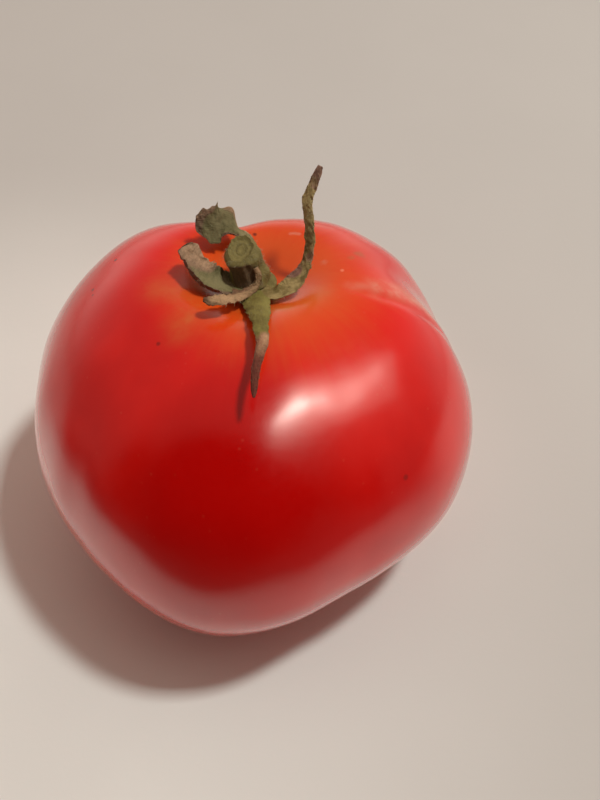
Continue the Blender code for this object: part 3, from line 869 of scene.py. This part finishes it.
def buildHairs(surfaces, material):
    # Short hairs on random points of the surfaces: three-sided cones with one joint, that bend a little to a
    # side. Each is its root, plus its length along a way near the surface's own, plus a share of it sideways.
    chance = np.random.default_rng(seedOf["hair"])
    every = sum(points[..., 0].size for points, _ in surfaces)
    roots, ways = [], []
    for points, outward in surfaces:
        rows, around = points.shape[:2]
        number = int(hairs["count"] * points[..., 0].size / every)
        row = chance.integers(int(rows * hairs["from"]), int(rows * hairs["to"]), number)
        column = chance.integers(0, around, number)
        haired = np.linalg.norm(outward[row, column], axis=1) > 0.1
        roots.append(points[row, column][haired])
        ways.append(unit(outward[row, column][haired]))
    root, way = np.concatenate(roots), np.concatenate(ways)
    way = unit(way + hairs["spread"] * chance.normal(size=way.shape))
    size = chance.uniform(*hairs["length"], len(root))[:, None] * mm
    sideways = unit(np.cross(way, chance.normal(size=way.shape)))
    other = np.cross(way, sideways)
    turn = np.arange(3) * 2 * np.pi / 3
    ring = np.cos(turn)[None, :, None] * sideways[:, None] + np.sin(turn)[None, :, None] * other[:, None]
    ring = ring * hairs["radius"] * mm
    bendWay = sideways * size * hairs["curl"]
    low = root[:, None] - way[:, None] * hairs["sunk"] * mm + ring
    high = (root + way * size * hairs["joint"] + bendWay * 0.4)[:, None] + ring * 0.7
    tip = (root + way * size + bendWay)[:, None]
    each = np.concatenate([low, high, tip], axis=1)
    first = np.arange(len(root))[:, None, None] * each.shape[1]
    quads = first + np.array([[0, 1, 4, 3], [1, 2, 5, 4], [2, 0, 3, 5]])
    ends = first + np.array([[3, 4, 6], [4, 5, 6], [5, 3, 6], [0, 2, 1]])
    made = putMesh("calyx_hairs", each.reshape(-1, 3), (quads.reshape(-1, 4), ends.reshape(-1, 3)), material)
    print("hairs built", len(root))
    return dress(made, "calyx")


def hairMaterial():
    material, tree, shader = newMaterial("calyxHair")
    tone = remap(tree, noise(tree, placeOf(tree), 300, 2, 0.5), 0.4, 0.6)
    setInput(tree, shader, "Base Color", blend(tree, tone, srgb(150, 146, 104), srgb(190, 184, 150)))
    shader.inputs["Roughness"].default_value = 0.55
    return material


table = {
    "colour": srgb(228, 228, 219),
    "shade": srgb(180, 177, 169),
    "far": (0.05, 0.045, 0.04),  # what the gloss sees of it in front, away from the lamp
    "size": 3.0,
    "squares": 24,
    "drop": 0.00002,
    "brightest": (-0.06, -0.03, 0),
    "darkens": (0.055, 0.14),  # distance from the brightest place
    "darkest": 0.7,
    "frontEdge": (-0.01, 0.09),
    "awayEdge": (0.08, 0.18),
}
lampAim = (0, 0, 0.045)
hoodWay = (0.475, 0.235, -0.266)  # the hood's long side
light = {
    # the lamp that casts the shadows
    "key": {
        "azimuth": 12, "elevation": 66.5, "distance": 1.0, "width": 0.11, "depth": 0.11, "watts": 6.5,
        "colour": (0.95, 1.0, 1.0), "longWay": (0, 1, 0), "inGloss": False,
    },
    # its soft hood, seen in the skin as a long gleam with a bright middle and a faint rim
    "halo": {
        "azimuth": -12, "elevation": 52, "distance": 0.82, "width": 0.58, "depth": 0.38, "watts": 0.8,
        "colour": (1, 0.88, 0.74), "longWay": hoodWay, "inGloss": True,
    },
    "hood": {
        "azimuth": -15, "elevation": 54.5, "distance": 0.8, "width": 0.37, "depth": 0.20, "watts": 0.66,
        "colour": (1, 0.90, 0.78), "longWay": hoodWay, "inGloss": True,
    },
    "bulb": {
        "azimuth": -24, "elevation": 60, "distance": 0.78, "width": 0.20, "depth": 0.05, "watts": 0.76,
        "colour": (1, 0.93, 0.82), "longWay": hoodWay, "inGloss": True,
    },
}
room = {
    "fill": (0.71, 0.50, 0.435),  # what the walls and ceiling give to matt surfaces
    "dark": (0.02, 0.014, 0.012),  # and the dark side
    "seen": (0.15, 0.12, 0.10),  # what shows of them in the gloss
    "backSeen": (0.70, 0.60, 0.53),  # the lighter wall behind, in the gloss
    "black": (0.0, 0.0, 0.0),  # the dark side, in the gloss
    "wall": (0.58, 0.55, 0.51),  # the plain backdrop
    "frontWay": (-0.10, -0.99, 0.0),  # the dark side, towards the viewer
    "fillEdge": (-0.12, 0.52),  # how far round, as the cosine, each dark side starts and is full
    "seenEdge": (0.28, 0.47),
    "backEdge": (-0.05, -0.65),
    "backHeight": (0.75, 0.05),
}


def buildTable():
    # A flat sheet. It darkens away from the lamp, and more so in the gloss, since the lamp lights only a pool
    # of it.
    material, tree, shader = newMaterial("tabletop")
    place = placeOf(tree)
    cloud = remap(tree, noise(tree, place, 9, 4, 0.55), 0.35, 0.65, 0, 0.15)
    colour = blend(tree, cloud, table["colour"], table["shade"])
    unlit = remap(tree, distanceTo(tree, place, table["brightest"]), *table["darkens"], 0, table["darkest"])
    colour = blend(tree, unlit, colour, table["shade"])
    front = vectorMaths(tree, "DOT_PRODUCT", place, room["frontWay"], "Value")
    away = distanceTo(tree, place, (0, 0, 0))
    unlit = maths(
        tree, "MULTIPLY", remap(tree, front, *table["frontEdge"]), remap(tree, away, *table["awayEdge"])
    )
    unlit = maths(tree, "MULTIPLY", addNode(tree, "ShaderNodeLightPath").outputs["Is Glossy Ray"], unlit)
    setInput(tree, shader, "Base Color", blend(tree, unlit, colour, table["far"]))
    shader.inputs["Roughness"].default_value = 0.75
    addBump(tree, shader, noise(tree, place, 700, 4, 0.6), 0.05, 0.0005)
    side = np.linspace(-table["size"], table["size"], table["squares"] + 1)
    x, y = np.meshgrid(side, side)
    points = np.stack([x, y, 0 * x - table["drop"]], axis=-1).reshape(-1, 3)
    grid = np.arange(x.size).reshape(x.shape)
    quads = np.stack([grid[:-1, :-1], grid[:-1, 1:], grid[1:, 1:], grid[1:, :-1]], axis=-1).reshape(-1, 4)
    putMesh("tabletop", points, (quads,), material)


def buildLights():
    for name, lamp in light.items():
        data = bpy.data.lights.new(name, "AREA")
        data.shape = "RECTANGLE"
        data.size, data.size_y = lamp["width"], lamp["depth"]
        data.energy = lamp["watts"]
        data.color = lamp["colour"]
        made = bpy.data.objects.new(name, data)
        a, e = math.radians(lamp["azimuth"]), math.radians(lamp["elevation"])
        way = Vector((math.cos(a) * math.cos(e), math.sin(a) * math.cos(e), math.sin(e)))
        along = Vector(lamp["longWay"])
        along = (along - way * along.dot(way)).normalized()
        turn = Matrix((along, way.cross(along), way)).transposed().to_4x4()
        made.matrix_world = Matrix.Translation(Vector(lampAim) + way * lamp["distance"]) @ turn
        made.visible_glossy = lamp["inGloss"]
        made.visible_diffuse = not lamp["inGloss"]
        bpy.context.scene.collection.objects.link(made)


def buildRoom():
    # matt surfaces, the gloss and the camera each see their own plain room
    world = bpy.data.worlds.new("room")
    bpy.context.scene.world = world
    world.use_nodes = True
    tree = world.node_tree
    way = addNode(tree, "ShaderNodeTexCoord").outputs["Generated"]
    toward = vectorMaths(tree, "DOT_PRODUCT", way, room["frontWay"], "Value")
    height = addNode(tree, "ShaderNodeSeparateXYZ", {0: way}).outputs["Z"]
    path = addNode(tree, "ShaderNodeLightPath").outputs
    fill = blend(tree, remap(tree, toward, *room["fillEdge"]), room["fill"], room["dark"])
    behind = remap(tree, toward, *room["backEdge"])
    behind = maths(tree, "MULTIPLY", behind, remap(tree, height, *room["backHeight"]))
    seen = blend(tree, behind, room["seen"], room["backSeen"])
    seen = blend(tree, remap(tree, toward, *room["seenEdge"]), seen, room["black"])
    colour = blend(tree, path["Is Diffuse Ray"], room["wall"], fill)
    colour = blend(tree, path["Is Glossy Ray"], colour, seen)
    setInput(tree, tree.nodes["Background"], "Color", colour)
    tree.nodes["Background"].inputs["Strength"].default_value = 1.0
    view = bpy.context.scene.view_settings
    view.view_transform = "Standard"
    view.look = "None"
    print("table and lights set")


buildCamera()
buildFruit(skinMaterial())
tissueNodes = tissueGroup()
tissueMaterials = {name: tissueMaterial(name, tissueNodes) for name in tissue}
surfaces = buildSepals(tissueMaterials)
buildHub(tissueMaterials["stalkTissue"])
surfaces.append(buildStalk(tissueMaterials["stalkTissue"]))
buildHairs(surfaces, hairMaterial())
buildTable()
buildLights()
buildRoom()
